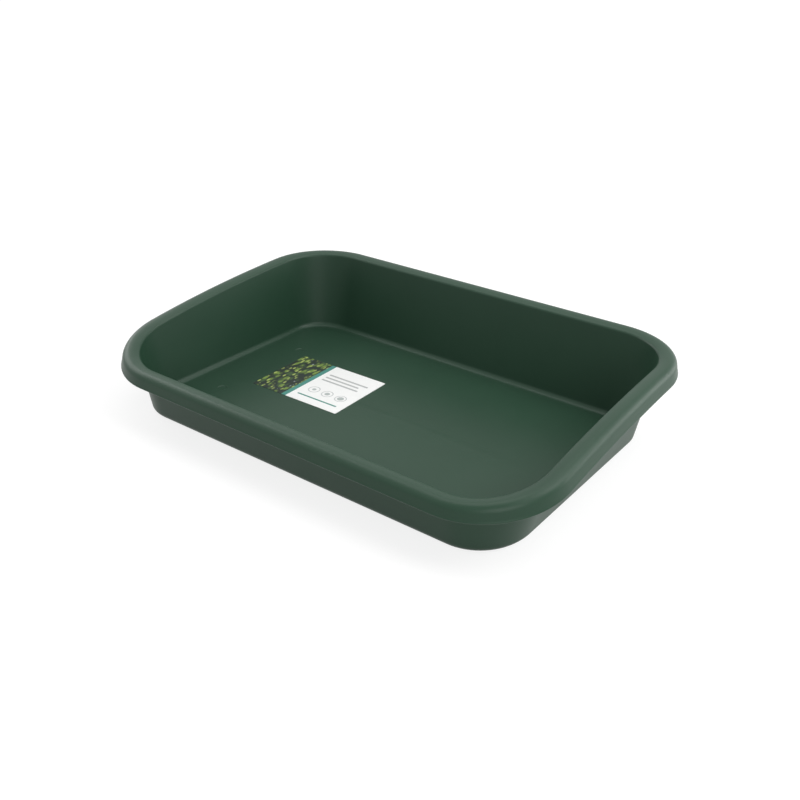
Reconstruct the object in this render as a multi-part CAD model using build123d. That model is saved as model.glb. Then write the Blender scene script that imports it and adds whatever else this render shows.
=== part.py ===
from build123d import *

import os
from math import atan2, cos, radians, sin, tan

# Potting soil tray: one moulded tray with a rolled rim, low at the front and high at the back, and the
# paper label that lies on its floor. Millimetres, +Z up, the low front at -Y, standing on Z = 0.

# Tray, overall
LENGTH = 560.0              # over the rim, left to right
WIDTH = 389.8               # over the rim, front to back
FRONT_HEIGHT = 64.7         # crown of the rim along the front
BACK_HEIGHT = 99.8          # crown of the rim along the back
FRONT_RISE_ANGLE = 11.7     # slope of the rim line where it leaves the front
BACK_RISE_ANGLE = 0.0       # slope of the rim line where it reaches the back
CORNER_RADIUS = 88.4        # outer corners of the rim, in plan
WALL = 2.4                  # thickness of floor, wall and rim

# Rolled rim, in section
RIM_WIDTH = 21.2            # from the wall's line at the lip to the outermost line
RIM_DROP = 15.6             # from the crown down to the lower edge
RIM_FLARE = 2.7             # how far the skirt leans out on its way down
LIP_INNER_RADIUS = 4.7      # under the lip, where the wall turns into the rim
SHOULDER_INNER_RADIUS = 6.6  # under the shoulder, where the rim turns down into its skirt
EDGE_RADIUS = 1.6           # outer corner of the rim's lower edge

# Floor: how far its sharp corner with the wall lies inside the rim's outermost line
FLOOR_INSET_FRONT = 29.8
FLOOR_INSET_BACK = 44.0
FLOOR_INSET_END = 38.1
FLOOR_FILLET = 5.0          # inside, between floor and wall
FLOOR_MARGIN = 10.0         # flat border that the wall's section keeps beyond the fillet

# Witness marks of the mould on the floor
PIN_SPACING_X = 388.0
PIN_SPACING_Y = 137.0
PIN_DIAMETER = 12.0
PIN_DEPTH = 0.5
GATE_DIAMETER = 10.0
GATE_HEIGHT = 0.3

# Label
LABEL_LENGTH = 128.0
LABEL_WIDTH = 96.0
LABEL_THICKNESS = 0.3
LABEL_CORNER_RADIUS = 1.5
LABEL_CENTRE_X = -111.7
LABEL_CENTRE_Y = 5.4
LABEL_TURN = 1.1            # degrees, as it was laid down

# Stations of the lofted ends. On the straight lead-in they crowd towards the loft's free end, so that its
# surface leaves there straight.
CORNER_STEPS = 8
END_STEPS = 10
LEAD_IN = 24.0
LEAD_IN_SHARES = (1.0, 0.98, 0.92, 0.75, 0.42)

# Values that follow from the sizes above
half_length = LENGTH / 2
half_width = WIDTH / 2
straight_x = half_length - CORNER_RADIUS
straight_y = half_width - CORNER_RADIUS
lip_radius = LIP_INNER_RADIUS + WALL
shoulder_radius = SHOULDER_INNER_RADIUS + WALL
edge_radius = min(EDGE_RADIUS, 0.75 * WALL)
flare_angle = atan2(RIM_FLARE, RIM_DROP)
edge_reach = edge_radius * (cos(flare_angle) + sin(flare_angle) - 1)  # what the rounding takes off the edge
floor_land = FLOOR_FILLET + FLOOR_MARGIN
floor_middle_y = (FLOOR_INSET_FRONT - FLOOR_INSET_BACK) / 2


def left_of(direction):
    """The direction a quarter turn to the left, in the section's plane"""
    return Vector(-direction.Y, direction.X)


def bend(before, corner, after, radius):
    """A rounded bend of the sheet: start, middle and end on its inside face, then on its back face"""
    way_in = (corner - before).normalized()
    way_out = (after - corner).normalized()
    side = 1 if way_in.cross(way_out).Z > 0 else -1
    setback = radius * tan(radians(way_in.get_angle(way_out)) / 2)
    start = corner - way_in * setback
    end = corner + way_out * setback
    centre = start + left_of(way_in) * (side * radius)
    towards_corner = (corner - centre).normalized()
    face = (start, centre + towards_corner * radius, end)
    back_middle = centre + towards_corner * (radius + side * WALL)
    back = (start - left_of(way_in) * WALL, back_middle, end - left_of(way_out) * WALL)
    return face, back


def wall_section(crown, inset):
    """Floor border, wall and rim as one line, open at the floor: X outward from the rim, Y up"""
    floor_end = Vector(-inset - floor_land, WALL)
    floor_corner = Vector(-inset, WALL)
    lip_corner = Vector(-RIM_WIDTH, crown)
    shoulder_corner = Vector(edge_reach - RIM_FLARE, crown)
    edge_outer = Vector(edge_reach, crown - RIM_DROP)
    edge_inner = edge_outer - left_of((edge_outer - shoulder_corner).normalized()) * WALL
    floor_under = Vector(-inset - floor_land, 0)

    floor_face, floor_back = bend(floor_end, floor_corner, lip_corner, FLOOR_FILLET)
    lip_face, lip_back = bend(floor_corner, lip_corner, shoulder_corner, lip_radius)
    shoulder_face, shoulder_back = bend(lip_corner, shoulder_corner, edge_outer, shoulder_radius)
    edge_face, _ = bend(shoulder_corner, edge_outer, edge_inner, edge_radius)

    inside = [floor_face, lip_face, shoulder_face, edge_face, edge_inner]
    outside = [shoulder_back[::-1], lip_back[::-1], floor_back[::-1], floor_under]
    here = floor_end
    outline = []
    for stop in inside + outside:
        if isinstance(stop, tuple):
            outline.append(Line(here, stop[0]))
            outline.append(ThreePointArc(*stop))
            here = stop[2]
        else:
            outline.append(Line(here, stop))
            here = stop
    return Wire(outline)


def crown_height(y):
    """Height of the rim's crown at a place along the width, on one cubic curve from front to back"""
    share = (y + half_width) / WIDTH
    front_handle = FRONT_HEIGHT + tan(radians(FRONT_RISE_ANGLE)) * WIDTH / 3
    back_handle = BACK_HEIGHT - tan(radians(BACK_RISE_ANGLE)) * WIDTH / 3
    rest = 1 - share
    return (
        FRONT_HEIGHT * rest**3
        + 3 * front_handle * rest**2 * share
        + 3 * back_handle * rest * share**2
        + BACK_HEIGHT * share**3
    )


def placed_section(x, y, outward_angle, long_side_inset):
    """The wall's section at a point of the rim's outermost line, facing outward_angle in plan"""
    outward = Vector(cos(radians(outward_angle)), sin(radians(outward_angle)))
    end_share = outward.X**2
    inset = FLOOR_INSET_END * end_share + long_side_inset * (1 - end_share)
    station = Plane(origin=(x, y, 0), x_dir=outward, z_dir=outward.cross(Vector(0, 0, 1)))
    return station * wall_section(crown_height(y), inset)


def lofted_end():
    """The right-hand end with both its corners, from the front's straight run to the back's"""
    sections = []
    for share in LEAD_IN_SHARES:
        sections.append(placed_section(straight_x - share * LEAD_IN, -half_width, -90, FLOOR_INSET_FRONT))
    for step in range(CORNER_STEPS + 1):
        angle = -90 + 90 * step / CORNER_STEPS
        x = straight_x + CORNER_RADIUS * cos(radians(angle))
        y = -straight_y + CORNER_RADIUS * sin(radians(angle))
        sections.append(placed_section(x, y, angle, FLOOR_INSET_FRONT))
    for step in range(1, END_STEPS):
        y = straight_y * (2 * step / END_STEPS - 1)
        sections.append(placed_section(half_length, y, 0, FLOOR_INSET_FRONT))
    for step in range(CORNER_STEPS + 1):
        angle = 90 * step / CORNER_STEPS
        x = straight_x + CORNER_RADIUS * cos(radians(angle))
        y = straight_y + CORNER_RADIUS * sin(radians(angle))
        sections.append(placed_section(x, y, angle, FLOOR_INSET_BACK))
    for share in reversed(LEAD_IN_SHARES):
        sections.append(placed_section(straight_x - share * LEAD_IN, half_width, 90, FLOOR_INSET_BACK))
    return Shell.make_loft(sections)


def straight_run(y, outward_angle, long_side_inset):
    """The straight stretch of wall and rim along the front or the back"""
    reach = straight_x - LEAD_IN
    section = placed_section(-reach, y, outward_angle, long_side_inset)
    return Shell.extrude(section, (2 * reach, 0, 0))


def floor_edge(run, level):
    """The edge of a run of wall that meets the flat floor, on the floor's top or its underside"""
    on_level = run.edges().filter_by_position(Axis.Z, level - WALL / 10, level + WALL / 10)
    along = [edge for edge in on_level if edge.length > floor_land]
    return min(along, key=lambda edge: (edge @ 0.5).length)


def pin_marks():
    """The flat recesses that the mould's ejector pins leave in the floor"""
    pin = extrude(Circle(PIN_DIAMETER / 2), amount=PIN_DEPTH)
    pins = GridLocations(PIN_SPACING_X, PIN_SPACING_Y, 2, 2) * pin
    return [Pos(0, floor_middle_y, WALL - PIN_DEPTH) * mark for mark in pins]


def gate_mark():
    """The low dome left in the middle of the floor, where the plastic was let into the mould"""
    dome_radius = (GATE_DIAMETER**2 / 4 + GATE_HEIGHT**2) / (2 * GATE_HEIGHT)
    dome = Pos(0, 0, WALL + GATE_HEIGHT - dome_radius) * Sphere(dome_radius)
    root = Pos(0, 0, WALL / 2) * extrude(Circle(GATE_DIAMETER / 2), amount=WALL)
    return Pos(0, floor_middle_y, 0) * (root & dome)


def tray_body():
    """The whole moulding: four runs of wall and rim, closed by the floor's two faces"""
    right_end = lofted_end()
    left_end = mirror(right_end, about=Plane.YZ)
    front = straight_run(-half_width, -90, FLOOR_INSET_FRONT)
    back = straight_run(half_width, 90, FLOOR_INSET_BACK)
    runs = [front, right_end, back, left_end]
    skin = [face for run in runs for face in run.faces()]
    for level in (0, WALL):
        outline = Wire.combine([floor_edge(run, level) for run in runs], tol=0.001)[0]
        skin.append(Face(outline))
    return Solid(Shell(skin)) - pin_marks() + gate_mark()


def product_label():
    """The paper label, lying flat on the floor"""
    card = extrude(RectangleRounded(LABEL_LENGTH, LABEL_WIDTH, LABEL_CORNER_RADIUS), amount=LABEL_THICKNESS)
    return Pos(LABEL_CENTRE_X, LABEL_CENTRE_Y, WALL) * Rot(0, 0, LABEL_TURN) * card


os.makedirs("parts", exist_ok=True)
for node, piece in {"tray_body": tray_body(), "product_label": product_label()}.items():
    export_step(piece, f"parts/{node}.step")
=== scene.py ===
from math import acos, atan2, cos, degrees, pi, radians, sin, tan

import bmesh
import bpy
from mathutils import Matrix, Vector
from mathutils.geometry import tessellate_polygon


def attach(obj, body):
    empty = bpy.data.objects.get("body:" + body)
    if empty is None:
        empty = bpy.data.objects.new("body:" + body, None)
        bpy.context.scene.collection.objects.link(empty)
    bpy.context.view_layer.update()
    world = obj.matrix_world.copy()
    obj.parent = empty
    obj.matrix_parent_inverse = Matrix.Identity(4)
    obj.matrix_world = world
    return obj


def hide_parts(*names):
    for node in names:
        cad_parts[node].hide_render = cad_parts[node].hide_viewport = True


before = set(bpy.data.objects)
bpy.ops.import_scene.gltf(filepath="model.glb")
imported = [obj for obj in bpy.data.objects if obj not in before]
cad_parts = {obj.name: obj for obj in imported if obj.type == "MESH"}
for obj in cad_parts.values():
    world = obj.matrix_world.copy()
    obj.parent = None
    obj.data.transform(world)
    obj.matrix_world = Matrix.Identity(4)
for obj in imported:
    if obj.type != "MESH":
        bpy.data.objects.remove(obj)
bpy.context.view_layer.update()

# Camera of the photograph: pixels of a picture of 800 x 800, degrees and metres
IMAGE_SIZE = 800
FOCAL_PIXELS = 958.13
PICTURE_CENTRE = (390.37, 381.60)
CAMERA_AZIMUTH = 37.083
CAMERA_ELEVATION = 26.554
CAMERA_ROLL = 0.769
CAMERA_DISTANCE = 1.0735
CAMERA_TARGET = (0.0, 0.0, 0.042)
SENSOR_WIDTH = 36.0         # millimetres

# Tray shell, in millimetres and degrees: the solid's own sizes, with a finer section of its rim
MILLIMETRE = 0.001          # in metres, the scene's unit
LENGTH = 560.0
WIDTH = 389.8
FRONT_HEIGHT = 64.7
BACK_HEIGHT = 99.8
FRONT_RISE_ANGLE = 11.7
CORNER_RADIUS = 88.4
WALL = 2.4
FLOOR_INSET_FRONT = 29.8
FLOOR_INSET_BACK = 44.0
FLOOR_INSET_END = 38.1
FLOOR_FILLET = 7.0          # inside, between floor and wall
FOOT_FILLET = 5.0           # the solid's inside rounding, which the outer foot follows
FLOOR_LAND = 15.0           # border of the floor that belongs to the section
RIM_WIDTH = 21.2
RIM_DROP = 15.6
END_DROP = 17.9             # the rim hangs a little deeper at the ends
LIP_RADIUS = 3.5            # where the wall turns into the rim
LIP_DROP = 4.93             # from the crown down to the middle of the lip's rounding
LIP_TILT = 20.0             # slope of the rim's top where it leaves the lip, rising to the crown
SHOULDER_RADIUS = 8.5
FLARE_RADIUS = 10.0         # where the skirt swings out to its lower edge
EDGE_TILT = 25.0            # how far the skirt faces up at its lower edge
SUPPORT = 0.5               # distance of the extra lines that keep flat faces flat beside a rounding

# Witness marks of the mould, from the middle of the floor, in millimetres
PIN_PLACES = ((-194.0, 68.5), (-194.0, -68.5))
PIN_RADIUS = 6.2
PIN_SLOPE = 0.9             # how far the mark's side leans in
PIN_DEPTH = 0.4
GATE_RADIUS = 5.0
GATE_HEIGHT = 0.3
GATE_PROFILE = ((1.0, 0.0), (0.5, 0.75), (0.1, 1.0))  # shares of its radius and height, from foot to top

# How finely the shell is divided
FILLET_STEPS = 10
LIP_STEPS = 10
TOP_STEPS = 8
SHOULDER_STEPS = 14
FLARE_STEPS = 8
EDGE_STEPS = 12
CORNER_STEPS = 20
END_STEPS = 16
LEAD_IN = 4.0               # millimetres of the long sides beside each corner
RING_STEPS = 32
SHARP_ANGLE = 22.0          # degrees from which an edge is shaded as a sharp one

# Directions and turns in the shell's section and plan, in degrees
UPWARD = 90
INWARD = 180
QUARTER_TURN = 90
HALF_TURN = 180

# Label on the tray's floor, in metres and degrees: the same sizes as the solid's
LABEL_LENGTH = 0.128
LABEL_WIDTH = 0.096
LABEL_CENTRE = (-0.1117, 0.0054)
LABEL_TURN = 1.1

# Print on the label, in metres from its lower left corner
PANEL_END = 0.046
STRIPE_WIDTH = 0.0065
PRINT_LEFT = 0.060
PRINT_RIGHT = 0.118
BAR_LENGTHS = (0.058, 0.050, 0.054)
BAR_BOTTOM = 0.072          # of the uppermost bar
BAR_SPACING = 0.0075
BAR_HEIGHT = 0.0030
CIRCLE_COUNT = 3
CIRCLE_LEFT = 0.070         # middle of the first circle
CIRCLE_LEVEL = 0.032
CIRCLE_SPACING = 0.020
CIRCLE_OUTER = 0.0075
CIRCLE_INNER = 0.0062
SPOT_RADIUS = 0.0026
SPOT_GROWTH = 0.0008        # from one circle's spot to the next
LINE_BOTTOM = 0.0125
LINE_TOP = 0.0150

# Leaves in the label's panel: cells in a metre, turn in degrees, reach of a leaf in its cell, and colour
GREEN_LEAVES = (
    {"count": 150.0, "turn": 35.0, "width": 0.42, "colour": (0.045, 0.085, 0.030, 1)},
    {"count": 120.0, "turn": -40.0, "width": 0.34, "colour": (0.16, 0.25, 0.05, 1)},
    {"count": 170.0, "turn": 70.0, "width": 0.26, "colour": (0.36, 0.45, 0.12, 1)},
)
PALE_LEAVES = {"count": 140.0, "turn": 10.0, "width": 0.30, "colour": (0.40, 0.46, 0.47, 1)}
LEAF_STRETCH = 0.42
LEAF_CORE = 0.6             # share of a leaf's reach that is in full colour

# Colours
WHITE = (1, 1, 1, 1)
PLASTIC_DARK = (0.0162, 0.0450, 0.0262, 1)
PLASTIC_LIGHT = (0.0200, 0.0556, 0.0323, 1)
PAPER_DARK = (0.84, 0.85, 0.84, 1)
PAPER_LIGHT = (0.89, 0.89, 0.88, 1)
PANEL_DARK = (0.010, 0.020, 0.014, 1)
TEAL = (0.06, 0.24, 0.20, 1)
BAR_GREY = (0.42, 0.43, 0.43, 1)
CIRCLE_GREY = (0.52, 0.54, 0.54, 1)
SPOT_GREY = (0.42, 0.46, 0.45, 1)
FLOOR_DARK = (0.78, 0.78, 0.78, 1)
FLOOR_LIGHT = (0.80, 0.80, 0.80, 1)

# Light and floor, in metres and watts
SURROUND_LEVEL = 0.25       # light of the white surround on the tray
FLOOR_GLOW = 0.80           # white that the floor shows of itself beside the tray
FAR_FLOOR_GLOW = 1.0        # the same from a distance on
FLOOR_NEAR = 0.5            # distances between which the one turns into the other
FLOOR_FAR = 1.4
SHADOW_SHARE = 0.26         # how much of the light on it the floor shows, and so of the tray's shadow
FLOOR_REACH = 20.0
FLOOR_SINK = 0.0002         # how far the floor lies under the tray's foot
LAMPS = {
    "key": {"place": (1.1, 0.5, 1.5), "size": (1.2, 1.2), "power": 17.6},
    "top": {"place": (-0.3, 0.4, 1.7), "size": (1.6, 1.2), "power": 10.9},
    "left": {"place": (-1.5, 0.1, 0.9), "size": (1.0, 1.0), "power": 8.8},
    "right_front": {"place": (1.2, -1.0, 0.8), "size": (1.0, 1.0), "power": 8.4},
    "back_right_low": {"place": (1.2, 1.3, 0.42), "size": (1.4, 0.8), "power": 10.9},
    "fill": {"place": (-0.9, -1.1, 1.1), "size": (1.2, 1.0), "power": 1.3},
}


class Shader:
    """A new material and short ways to add nodes to it"""

    def __init__(self, name):
        self.material = bpy.data.materials.new(name)
        self.material.use_nodes = True
        self.tree = self.material.node_tree
        self.surface = self.tree.nodes["Principled BSDF"]
        self.place = self.node("ShaderNodeTexCoord").outputs["Object"]

    def put(self, socket, value):
        """Links another node's result to a socket, or writes a plain value there"""
        if isinstance(value, bpy.types.NodeSocket):
            self.tree.links.new(value, socket)
        else:
            socket.default_value = value

    def connect(self, node, **inputs):
        """Puts results or plain values into a node's inputs, with _ for a space in an input's name"""
        for key, value in inputs.items():
            self.put(node.inputs[key.replace("_", " ")], value)

    def node(self, kind, settings=None, **inputs):
        """Adds a node with its settings and inputs"""
        added = self.tree.nodes.new(kind)
        for key, value in (settings or {}).items():
            setattr(added, key, value)
        self.connect(added, **inputs)
        return added

    def math(self, operation, *values):
        """One math node; returns its result"""
        added = self.node("ShaderNodeMath", {"operation": operation})
        for socket, value in zip(added.inputs, values):
            self.put(socket, value)
        return added.outputs[0]

    def noise(self, scale, detail=3.0, roughness=0.5, place=None):
        """A soft random pattern between zero and one, the same in every run"""
        added = self.node("ShaderNodeTexNoise", Scale=scale, Detail=detail, Roughness=roughness)
        self.connect(added, Vector=self.place if place is None else place)
        return added.outputs["Fac"]

    def spread(self, value, low, high, start=0.0, end=1.0):
        """Stretches a value from start..end to low..high"""
        added = self.node("ShaderNodeMapRange", Value=value)
        self.connect(added, From_Min=start, From_Max=end, To_Min=low, To_Max=high)
        return added.outputs["Result"]

    def blend(self, share, first, second):
        """A colour between two colours"""
        added = self.node("ShaderNodeMix", {"data_type": "RGBA"}, Factor=share, A=first, B=second)
        return added.outputs["Result"]

    def bump(self, height, distance, strength, under=None):
        """Small unevenness, on top of another one where that is given"""
        added = self.node("ShaderNodeBump", Height=height, Distance=distance, Strength=strength)
        if under is not None:
            self.connect(added, Normal=under)
        return added.outputs["Normal"]


def tray_plastic():
    """Satin dark green polypropylene: faint flow marks, a fine moulded grain and a slight handling haze"""
    plastic = Shader("tray_plastic")
    flow = plastic.noise(scale=9.0, detail=4.0, roughness=0.55)
    haze = plastic.noise(scale=22.0, detail=5.0, roughness=0.6)
    ripple = plastic.noise(scale=45.0, detail=2.0)
    grain = plastic.noise(scale=1400.0, detail=2.0)
    rippled = plastic.bump(ripple, distance=0.0004, strength=0.12)
    plastic.connect(
        plastic.surface,
        Base_Color=plastic.blend(flow, PLASTIC_DARK, PLASTIC_LIGHT),
        Roughness=plastic.spread(haze, low=0.34, high=0.46),
        Specular_IOR_Level=0.258,
        Normal=plastic.bump(grain, distance=0.00006, strength=0.35, under=rippled),
    )
    return plastic.material


class LabelPrint(Shader):
    """Coated paper and what is printed on it, drawn in the label's own directions"""

    def __init__(self):
        super().__init__("label_paper")
        middle = Vector((*LABEL_CENTRE, 0.0))
        half_size = Vector((LABEL_LENGTH / 2, LABEL_WIDTH / 2, 0))
        turn = radians(LABEL_TURN)
        corner = middle - Matrix.Rotation(turn, 3, "Z") @ half_size
        mapping = self.node("ShaderNodeMapping", {"vector_type": "TEXTURE"}, Vector=self.place)
        self.connect(mapping, Location=corner, Rotation=(0, 0, turn))
        self.on_label = mapping.outputs["Vector"]
        axes = self.node("ShaderNodeSeparateXYZ", Vector=self.on_label)
        self.along = axes.outputs["X"]
        self.across = axes.outputs["Y"]
        self.colour = self.blend(self.noise(scale=160.0), PAPER_DARK, PAPER_LIGHT)

    def paint(self, share, colour):
        """Lays a colour over what is printed so far"""
        self.colour = self.blend(share, self.colour, colour)

    def inside(self, value, low, high):
        """One between the two limits and zero beyond them"""
        above = self.math("GREATER_THAN", value, low)
        below = self.math("LESS_THAN", value, high)
        return self.math("MULTIPLY", above, below)

    def bar(self, left, right, bottom, top):
        """A rectangle in line with the label's edges"""
        within_length = self.inside(self.along, left, right)
        within_height = self.inside(self.across, bottom, top)
        return self.math("MULTIPLY", within_length, within_height)

    def disc(self, x, y, outer, inner=-1.0):
        """A round spot, or a ring where the inner radius is above zero"""
        beside = self.math("SUBTRACT", self.along, x)
        above = self.math("SUBTRACT", self.across, y)
        beside_square = self.math("MULTIPLY", beside, beside)
        above_square = self.math("MULTIPLY", above, above)
        reach = self.math("SQRT", self.math("ADD", beside_square, above_square))
        return self.inside(reach, inner, outer)

    def paint_leaves(self, share, count, turn, width, colour):
        """Leaves of many sizes: stretched cells, each shaded off from its middle"""
        mapping = self.node("ShaderNodeMapping", Vector=self.on_label)
        self.connect(mapping, Rotation=(0, 0, radians(turn)), Scale=(1.0, LEAF_STRETCH, 1.0))
        cells = self.node("ShaderNodeTexVoronoi", {"voronoi_dimensions": "2D"}, Scale=count)
        self.connect(cells, Vector=mapping.outputs["Vector"])
        leaf = self.spread(cells.outputs["Distance"], 1.0, 0.0, start=width * LEAF_CORE, end=width)
        self.paint(self.math("MULTIPLY", share, leaf), colour)


def label_print():
    """A panel of leaves at one end, a teal stripe, grey bars, circles with spots, and a teal line"""
    label = LabelPrint()
    panel = label.math("LESS_THAN", label.along, PANEL_END)
    patches = label.noise(scale=70.0, place=label.on_label)
    lush = label.math("MULTIPLY", panel, label.spread(patches, 0.0, 1.0, start=0.40, end=0.52))
    sparse = label.math("MULTIPLY", panel, label.spread(patches, 1.0, 0.0, start=0.34, end=0.40))
    label.paint(panel, PANEL_DARK)
    for leaves in GREEN_LEAVES:
        label.paint_leaves(lush, **leaves)
    label.paint_leaves(sparse, **PALE_LEAVES)
    label.paint(label.inside(label.along, PANEL_END, PANEL_END + STRIPE_WIDTH), TEAL)

    for index, length in enumerate(BAR_LENGTHS):
        bottom = BAR_BOTTOM - BAR_SPACING * index
        label.paint(label.bar(PRINT_LEFT, PRINT_LEFT + length, bottom, bottom + BAR_HEIGHT), BAR_GREY)
    for index in range(CIRCLE_COUNT):
        x = CIRCLE_LEFT + CIRCLE_SPACING * index
        label.paint(label.disc(x, CIRCLE_LEVEL, CIRCLE_OUTER, CIRCLE_INNER), CIRCLE_GREY)
        label.paint(label.disc(x, CIRCLE_LEVEL, SPOT_RADIUS + SPOT_GROWTH * index), SPOT_GREY)
    label.paint(label.bar(PRINT_LEFT, PRINT_RIGHT, LINE_BOTTOM, LINE_TOP), TEAL)

    label.connect(
        label.surface,
        Base_Color=label.colour,
        Roughness=label.spread(label.noise(scale=60.0), low=0.42, high=0.55),
        Specular_IOR_Level=0.35,
        Normal=label.bump(label.noise(scale=1800.0), distance=0.00003, strength=0.3),
    )
    return label.material


def any_seen(tree):
    """One where a ray comes from the camera, a reflection or glass, and zero for light on the tray"""
    path = tree.nodes.new("ShaderNodeLightPath")
    seen = path.outputs["Is Camera Ray"]
    for kind in ("Is Glossy Ray", "Is Transmission Ray"):
        larger = tree.nodes.new("ShaderNodeMath")
        larger.operation = "MAXIMUM"
        tree.links.new(seen, larger.inputs[0])
        tree.links.new(path.outputs[kind], larger.inputs[1])
        seen = larger.outputs[0]
    return seen


def white_floor():
    """Pale floor: where it is seen it is lifted to white, and it keeps a share of the tray's shadow"""
    floor = Shader("white_floor")
    seen = any_seen(floor.tree)
    pale = floor.blend(floor.noise(scale=3.0), FLOOR_DARK, FLOOR_LIGHT)
    shown = (SHADOW_SHARE, SHADOW_SHARE, SHADOW_SHARE, 1)
    distance = floor.node("ShaderNodeVectorMath", {"operation": "LENGTH"}, Vector=floor.place)
    white = floor.spread(distance.outputs["Value"], FLOOR_GLOW, FAR_FLOOR_GLOW, FLOOR_NEAR, FLOOR_FAR)
    floor.connect(
        floor.surface,
        Base_Color=floor.blend(seen, pale, shown),
        Roughness=0.9,
        Specular_IOR_Level=0.0,
        Emission_Color=WHITE,
        Emission_Strength=floor.math("MULTIPLY", seen, white),
    )
    return floor.material


class Rounding:
    """One arc of the shell's section, face and back, a wall's thickness apart; bulge -1 makes it hollow"""

    def __init__(self, centre, radius, start, end, steps, bulge=1):
        self.face = []
        self.back = []
        for step in range(steps + 1):
            angle = radians(start + (end - start) * step / steps)
            normal = Vector((cos(angle), sin(angle)))
            point = Vector(centre) + normal * (bulge * radius)
            self.face.append(point)
            self.back.append(point - normal * WALL)


def crown_height(y):
    """Height of the rim's crown along the width: one cubic curve from front to back"""
    share = (y + WIDTH / 2) / WIDTH
    rest = 1 - share
    front_handle = FRONT_HEIGHT + tan(radians(FRONT_RISE_ANGLE)) * WIDTH / 3
    front_part = FRONT_HEIGHT * rest**3 + 3 * front_handle * rest**2 * share
    return front_part + BACK_HEIGHT * (3 * rest * share**2 + share**3)


def shell_section(crown, inset, drop):
    """The shell in section, X outward and Y up: from the floor's top over the rim to the underside"""
    lean = atan2(inset - RIM_WIDTH, crown - WALL)
    wall_normal = INWARD - degrees(lean)

    def wall_x(height):
        return -inset + (height - WALL) * tan(lean)

    def floor_corner(radius):
        height = WALL + radius
        centre = (wall_x(height) - radius / cos(lean), height)
        return Rounding(centre, radius, UPWARD, wall_normal, FILLET_STEPS, bulge=-1)

    # The lip touches the wall's line, and the arched top rises from it to the crown, where it is level
    lip_y = crown - LIP_DROP
    lip_centre = (wall_x(lip_y) + LIP_RADIUS / cos(lean), lip_y)
    lip_tilt = radians(LIP_TILT)
    top_radius = (LIP_DROP - LIP_RADIUS * cos(lip_tilt)) / (1 - cos(lip_tilt))
    top_centre = (lip_centre[0] + (top_radius - LIP_RADIUS) * sin(lip_tilt), crown - top_radius)

    # The skirt is straight between the shoulder and the flare, along the line that touches both
    shoulder_centre = Vector((top_centre[0], crown - SHOULDER_RADIUS))
    edge_radius = WALL / 2
    edge_centre = Vector((-edge_radius, crown - drop + edge_radius))
    edge_tilt = radians(EDGE_TILT)
    edge_normal = Vector((cos(edge_tilt), sin(edge_tilt)))
    flare_centre = edge_centre + edge_normal * (edge_radius + FLARE_RADIUS)
    apart = flare_centre - shoulder_centre
    skirt_turn = acos((SHOULDER_RADIUS + FLARE_RADIUS) / apart.length)
    skirt_normal = degrees(atan2(apart.y, apart.x) + skirt_turn)

    fillet = floor_corner(FLOOR_FILLET)
    foot = floor_corner(FOOT_FILLET)
    lip = Rounding(lip_centre, LIP_RADIUS, wall_normal, UPWARD + LIP_TILT, LIP_STEPS)
    top = Rounding(top_centre, top_radius, UPWARD + LIP_TILT, UPWARD, TOP_STEPS)
    shoulder = Rounding(shoulder_centre, SHOULDER_RADIUS, UPWARD, skirt_normal, SHOULDER_STEPS)
    flare = Rounding(flare_centre, FLARE_RADIUS, skirt_normal, EDGE_TILT, FLARE_STEPS, bulge=-1)
    edge = Rounding(edge_centre, edge_radius, EDGE_TILT, EDGE_TILT - HALF_TURN, EDGE_STEPS)

    along_wall = (lip.face[0] - fillet.face[-1]).normalized() * SUPPORT
    along_floor = Vector((SUPPORT, 0))
    floor_x = -inset - FLOOR_LAND
    face = [Vector((floor_x, WALL)), fillet.face[0] - along_floor, *fillet.face]
    face += [fillet.face[-1] + along_wall, lip.face[0] - along_wall]
    face += [*lip.face, *top.face[1:], *shoulder.face[1:], *flare.face]
    back = [Vector((floor_x, 0)), foot.back[0] - along_floor, *foot.back]
    back += [foot.back[-1] + along_wall, lip.back[0] - along_wall]
    back += [*lip.back, *top.back[1:], *shoulder.back[1:], *flare.back]
    return face + edge.face[1:-1] + back[::-1]


def shell_stations():
    """Places on the rim's outer line: point, outward direction, the floor's inset and the rim's drop"""
    straight_x = LENGTH / 2 - CORNER_RADIUS
    straight_y = WIDTH / 2 - CORNER_RADIUS
    corners = []
    for side, long_side_inset in ((-1, FLOOR_INSET_FRONT), (1, FLOOR_INSET_BACK)):
        corner = [((straight_x - LEAD_IN, side * WIDTH / 2), (0, side), long_side_inset, RIM_DROP)]
        for step in range(CORNER_STEPS + 1):
            angle = radians(QUARTER_TURN * step / CORNER_STEPS)
            x = straight_x + CORNER_RADIUS * sin(angle)
            y = straight_y + CORNER_RADIUS * cos(angle)
            end_share = sin(angle) ** 2
            inset = FLOOR_INSET_END * end_share + long_side_inset * (1 - end_share)
            drop = END_DROP * end_share + RIM_DROP * (1 - end_share)
            corner.append(((x, side * y), (sin(angle), side * cos(angle)), inset, drop))
        corners.append(corner)
    front, back = corners
    end = []
    for step in range(1, END_STEPS):
        y = straight_y * (2 * step / END_STEPS - 1)
        end.append(((LENGTH / 2, y), (1, 0), FLOOR_INSET_END, END_DROP))
    right = front + end + back[::-1]
    left = [((-x, y), (-out_x, out_y), *sizes) for (x, y), (out_x, out_y), *sizes in reversed(right)]
    return right + left


def ring(centre, radius, height):
    """Points of a level circle"""
    x, y = centre
    turns = [2 * pi * step / RING_STEPS for step in range(RING_STEPS)]
    return [Vector((x + radius * cos(turn), y + radius * sin(turn), height)) for turn in turns]


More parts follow.
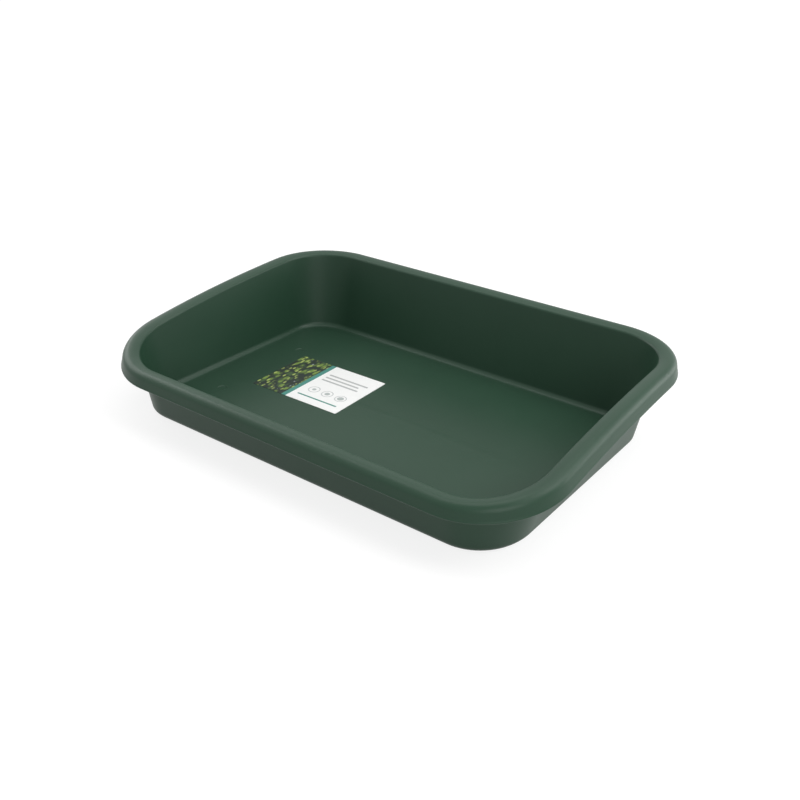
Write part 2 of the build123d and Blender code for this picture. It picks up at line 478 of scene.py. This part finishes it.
class ShellMesh:
    """Points and faces of the shell, in millimetres"""

    def __init__(self):
        self.points = []
        self.faces = []

    def add(self, points):
        """Adds a row of points; returns their numbers"""
        first = len(self.points)
        self.points += points
        return list(range(first, len(self.points)))

    def join(self, lower, upper):
        """Faces between two closed rows of the same number of points"""
        for index in range(len(lower)):
            after = (index + 1) % len(lower)
            self.faces.append((lower[index], lower[after], upper[after], upper[index]))

    def fill(self, outline, holes):
        """Flat faces inside an outline, round the holes in it"""
        rows = [outline, *holes]
        flat = [index for row in rows for index in row]
        for triangle in tessellate_polygon([[self.points[index] for index in row] for row in rows]):
            self.faces.append(tuple(flat[corner] for corner in triangle))

    def sweep(self):
        """Wall and rim all round; returns the row of points at each station"""
        rows = []
        for (x, y), (out_x, out_y), inset, drop in shell_stations():
            section = shell_section(crown_height(y), inset, drop)
            row = [Vector((x + out_x * point.x, y + out_y * point.x, point.y)) for point in section]
            rows.append(self.add(row))
        for index, row in enumerate(rows):
            after = rows[(index + 1) % len(rows)]
            for low, high, next_high, next_low in zip(row, row[1:], after[1:], after):
                self.faces.append((low, high, next_high, next_low))
        return rows

    def pin_mark(self, centre):
        """A shallow recess with a sloped side, left by an ejector pin; returns its mouth"""
        mouth = self.add(ring(centre, PIN_RADIUS, WALL))
        bottom = self.add(ring(centre, PIN_RADIUS - PIN_SLOPE, WALL - PIN_DEPTH))
        self.join(mouth, bottom)
        self.faces.append(tuple(bottom))
        return mouth

    def gate_mark(self, centre):
        """The low dome where the plastic was let into the mould; returns its foot"""
        rings = []
        for reach, rise in GATE_PROFILE:
            rings.append(self.add(ring(centre, GATE_RADIUS * reach, WALL + GATE_HEIGHT * rise)))
        for lower, upper in zip(rings, rings[1:]):
            self.join(lower, upper)
        self.faces.append(tuple(rings[-1]))
        return rings[0]


def build_shell():
    """The whole moulding as one closed mesh, in the place of its solid"""
    shell = ShellMesh()
    rows = shell.sweep()
    middle_y = (FLOOR_INSET_FRONT - FLOOR_INSET_BACK) / 2
    marks = [shell.pin_mark((x, middle_y + y)) for x, y in PIN_PLACES]
    marks.append(shell.gate_mark((0, middle_y)))
    shell.fill([row[0] for row in rows], marks)
    shell.faces.append(tuple(row[-1] for row in rows))

    mesh = bpy.data.meshes.new("tray_shell")
    mesh.from_pydata([point * MILLIMETRE for point in shell.points], [], shell.faces)
    form = bmesh.new()
    form.from_mesh(mesh)
    bmesh.ops.recalc_face_normals(form, faces=form.faces)
    form.to_mesh(mesh)
    form.free()
    mesh.shade_smooth()
    mesh.set_sharp_from_angle(angle=radians(SHARP_ANGLE))
    mesh.materials.append(tray_plastic())
    tray = bpy.data.objects.new("tray_shell", mesh)
    bpy.context.scene.collection.objects.link(tray)
    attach(tray, "root")
    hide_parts("tray_body")


def build_floor():
    """A wide level square, just under the tray's foot"""
    reach = FLOOR_REACH
    mesh = bpy.data.meshes.new("floor")
    corners = [(-reach, -reach, 0), (reach, -reach, 0), (reach, reach, 0), (-reach, reach, 0)]
    mesh.from_pydata(corners, [], [(0, 1, 2, 3)])
    floor = bpy.data.objects.new("floor", mesh)
    floor.location.z = -FLOOR_SINK
    bpy.context.scene.collection.objects.link(floor)
    mesh.materials.append(white_floor())


def build_world():
    """An even white surround: white where it is seen, and at its own level where it lights the tray"""
    world = bpy.data.worlds.new("studio")
    bpy.context.scene.world = world
    world.use_nodes = True
    tree = world.node_tree
    background = tree.nodes["Background"]
    background.inputs["Color"].default_value = WHITE
    level = tree.nodes.new("ShaderNodeMapRange")
    level.inputs["To Min"].default_value = SURROUND_LEVEL
    level.inputs["To Max"].default_value = 1.0
    tree.links.new(any_seen(tree), level.inputs["Value"])
    tree.links.new(level.outputs["Result"], background.inputs["Strength"])


def build_light(name, place, size, power):
    """A soft rectangular lamp, aimed at the tray"""
    lamp = bpy.data.lights.new(name, "AREA")
    lamp.shape = "RECTANGLE"
    lamp.size, lamp.size_y = size
    lamp.energy = power
    holder = bpy.data.objects.new(name, lamp)
    holder.location = place
    holder.rotation_euler = (-Vector(place)).to_track_quat("-Z", "Y").to_euler()
    bpy.context.scene.collection.objects.link(holder)


def build_camera():
    """The photograph's camera, at its angles and distance from the tray"""
    azimuth = radians(CAMERA_AZIMUTH)
    elevation = radians(CAMERA_ELEVATION)
    back = Vector((sin(azimuth) * cos(elevation), -cos(azimuth) * cos(elevation), sin(elevation)))
    level_right = Vector((cos(azimuth), sin(azimuth), 0))
    level_up = back.cross(level_right)
    roll = radians(CAMERA_ROLL)
    right = level_right * cos(roll) + level_up * sin(roll)
    up = level_up * cos(roll) - level_right * sin(roll)
    data = bpy.data.cameras.new("camera")
    data.sensor_width = SENSOR_WIDTH
    data.lens = FOCAL_PIXELS / IMAGE_SIZE * SENSOR_WIDTH
    data.shift_x = 0.5 - PICTURE_CENTRE[0] / IMAGE_SIZE
    data.shift_y = PICTURE_CENTRE[1] / IMAGE_SIZE - 0.5
    camera = bpy.data.objects.new("camera", data)
    turn = Matrix((right, up, back)).transposed().to_4x4()
    camera.matrix_world = Matrix.Translation(Vector(CAMERA_TARGET) + back * CAMERA_DISTANCE) @ turn
    bpy.context.scene.collection.objects.link(camera)
    bpy.context.scene.camera = camera


def dress(node, material):
    """Gives one of the solids its material"""
    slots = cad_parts[node].data.materials
    slots.clear()
    slots.append(material)


build_shell()
dress("product_label", label_print())
build_floor()
build_world()
for lamp_name, settings in LAMPS.items():
    build_light(lamp_name, **settings)
build_camera()
bpy.context.scene.view_settings.view_transform = "Standard"
